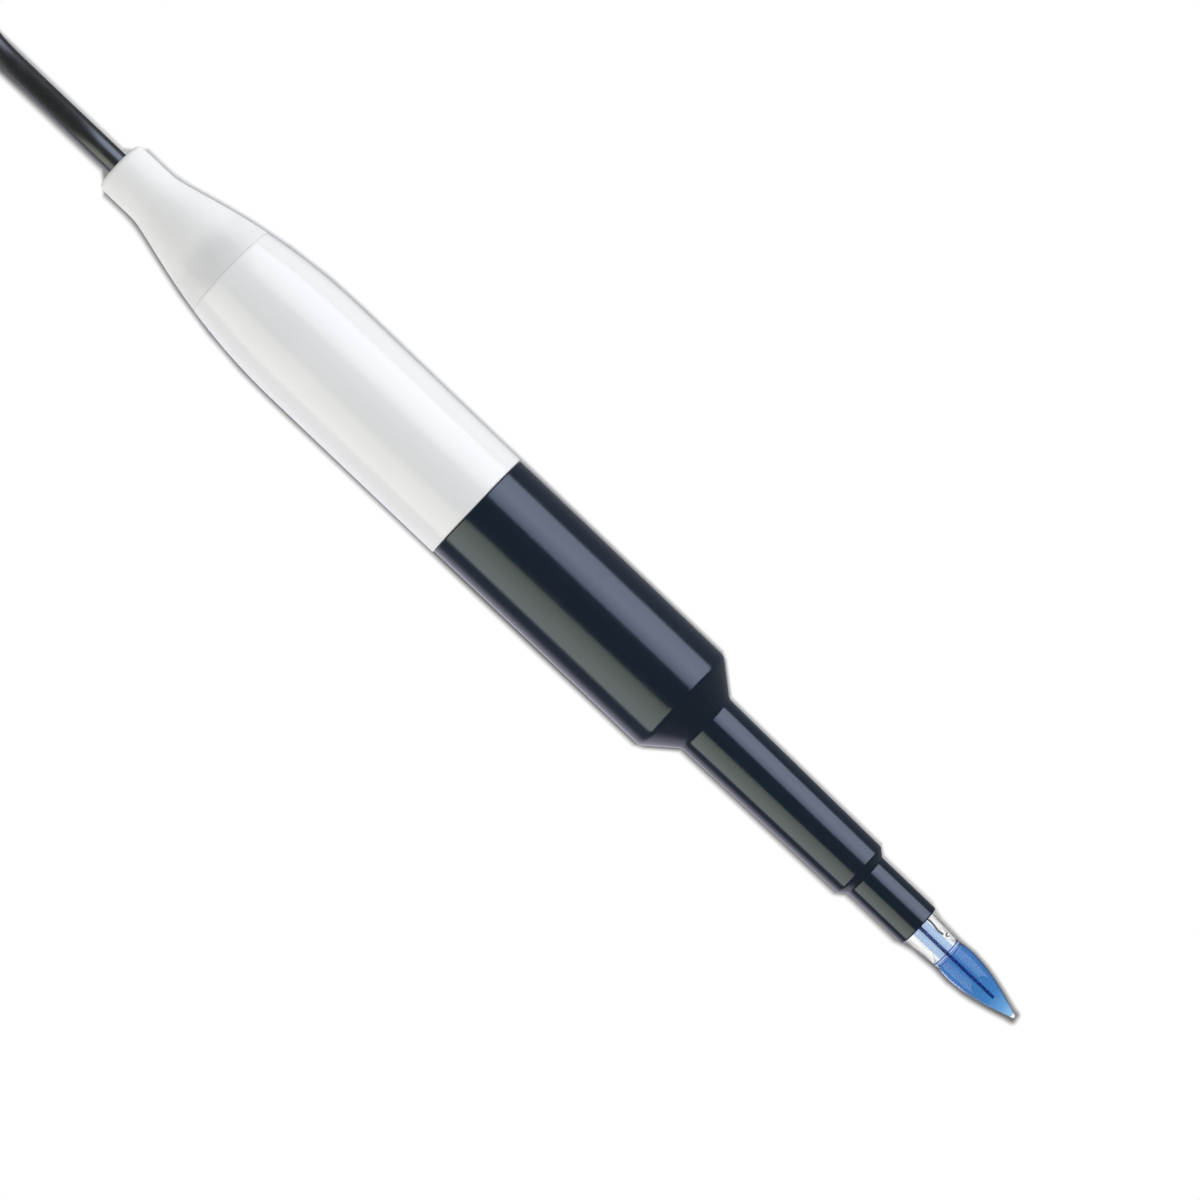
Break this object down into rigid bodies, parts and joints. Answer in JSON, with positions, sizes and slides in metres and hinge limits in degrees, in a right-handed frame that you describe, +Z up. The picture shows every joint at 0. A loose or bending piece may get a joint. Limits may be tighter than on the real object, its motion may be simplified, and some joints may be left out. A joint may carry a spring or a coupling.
{
  "type": "ph electrode",
  "caption": "Combination glass electrode for measuring pH: white cap, dark stepped shell, glass tip with a blue-filled bulb, and a cable in a tied hank with a bayonet plug.",
  "frame": {"origin": "middle of the electrode's length and width, on the surface it lies on", "axes": "+X along the electrode towards its glass tip, +Z up, the cable leaves towards -X"},
  "size_m": [0.286, 0.0276, 0.017],
  "materials": {
    "white_gloss": "smooth glossy white",
    "white_matte": "satin white",
    "shell_dark": "glossy near black with a blue tint",
    "black_rubber": "dull",
    "cable_jacket": "satin dark grey jacket",
    "clear_glass": "clear",
    "membrane_glass": "clear, seen blue over the gel",
    "blue_gel": "blue gel",
    "clear_gel": "clear gel",
    "chlorided_silver": "dark chlorided silver",
    "porous_ceramic": "unglazed",
    "silicone": "translucent grey",
    "nickel_plate": "bright nickel plate",
    "gold_plate": "gold plate",
    "white_polymer": "satin",
    "spring_steel": "bright",
    "potting_resin": "smooth resin"
  },
  "bodies": {
    "electrode": {"cap_sleeve": "white_gloss", "strain_relief_boot": "white_matte", "shell_o_ring": "black_rubber", "body_shell": "shell_dark", "outer_glass_tube": "clear_glass", "inner_stem_tube": "clear_glass", "sensing_bulb": "membrane_glass", "junction_frit": "porous_ceramic", "buffer_gel": "blue_gel", "reference_gel": "clear_gel", "reference_wire": "chlorided_silver", "measuring_wire": "chlorided_silver", "stem_plug": "silicone", "tube_stopper": "silicone", "centring_collar": "white_polymer", "front_seal": "silicone", "potting_plug": "potting_resin", "cable_clamp_ring": "nickel_plate", "signal_lead": "white_polymer", "shield_lead": "white_polymer", "signal_splice": "nickel_plate", "reference_splice": "nickel_plate", "cable_lead": "cable_jacket", "cable_hank": "cable_jacket", "hank_tie": "black_rubber", "cable_tail": "cable_jacket", "cable_core": "white_polymer", "bnc_boot": "cable_jacket", "bnc_crimp_ferrule": "nickel_plate", "bnc_body": "nickel_plate", "bnc_insulator": "white_polymer", "bnc_centre_pin": "gold_plate", "bnc_gasket": "black_rubber", "bnc_spring_washer": "spring_steel", "bnc_retaining_ring": "spring_steel"},
    "coupling_nut": {"bnc_coupling_nut": "nickel_plate"}
  },
  "joints": [
    {"name": "coupling_nut_turn", "type": "hinge", "parent": "electrode", "child": "coupling_nut", "pos_m": [-0.211, 0.006, 0.00735], "axis": [-1, 0, 0], "continuous": true}
  ]
}
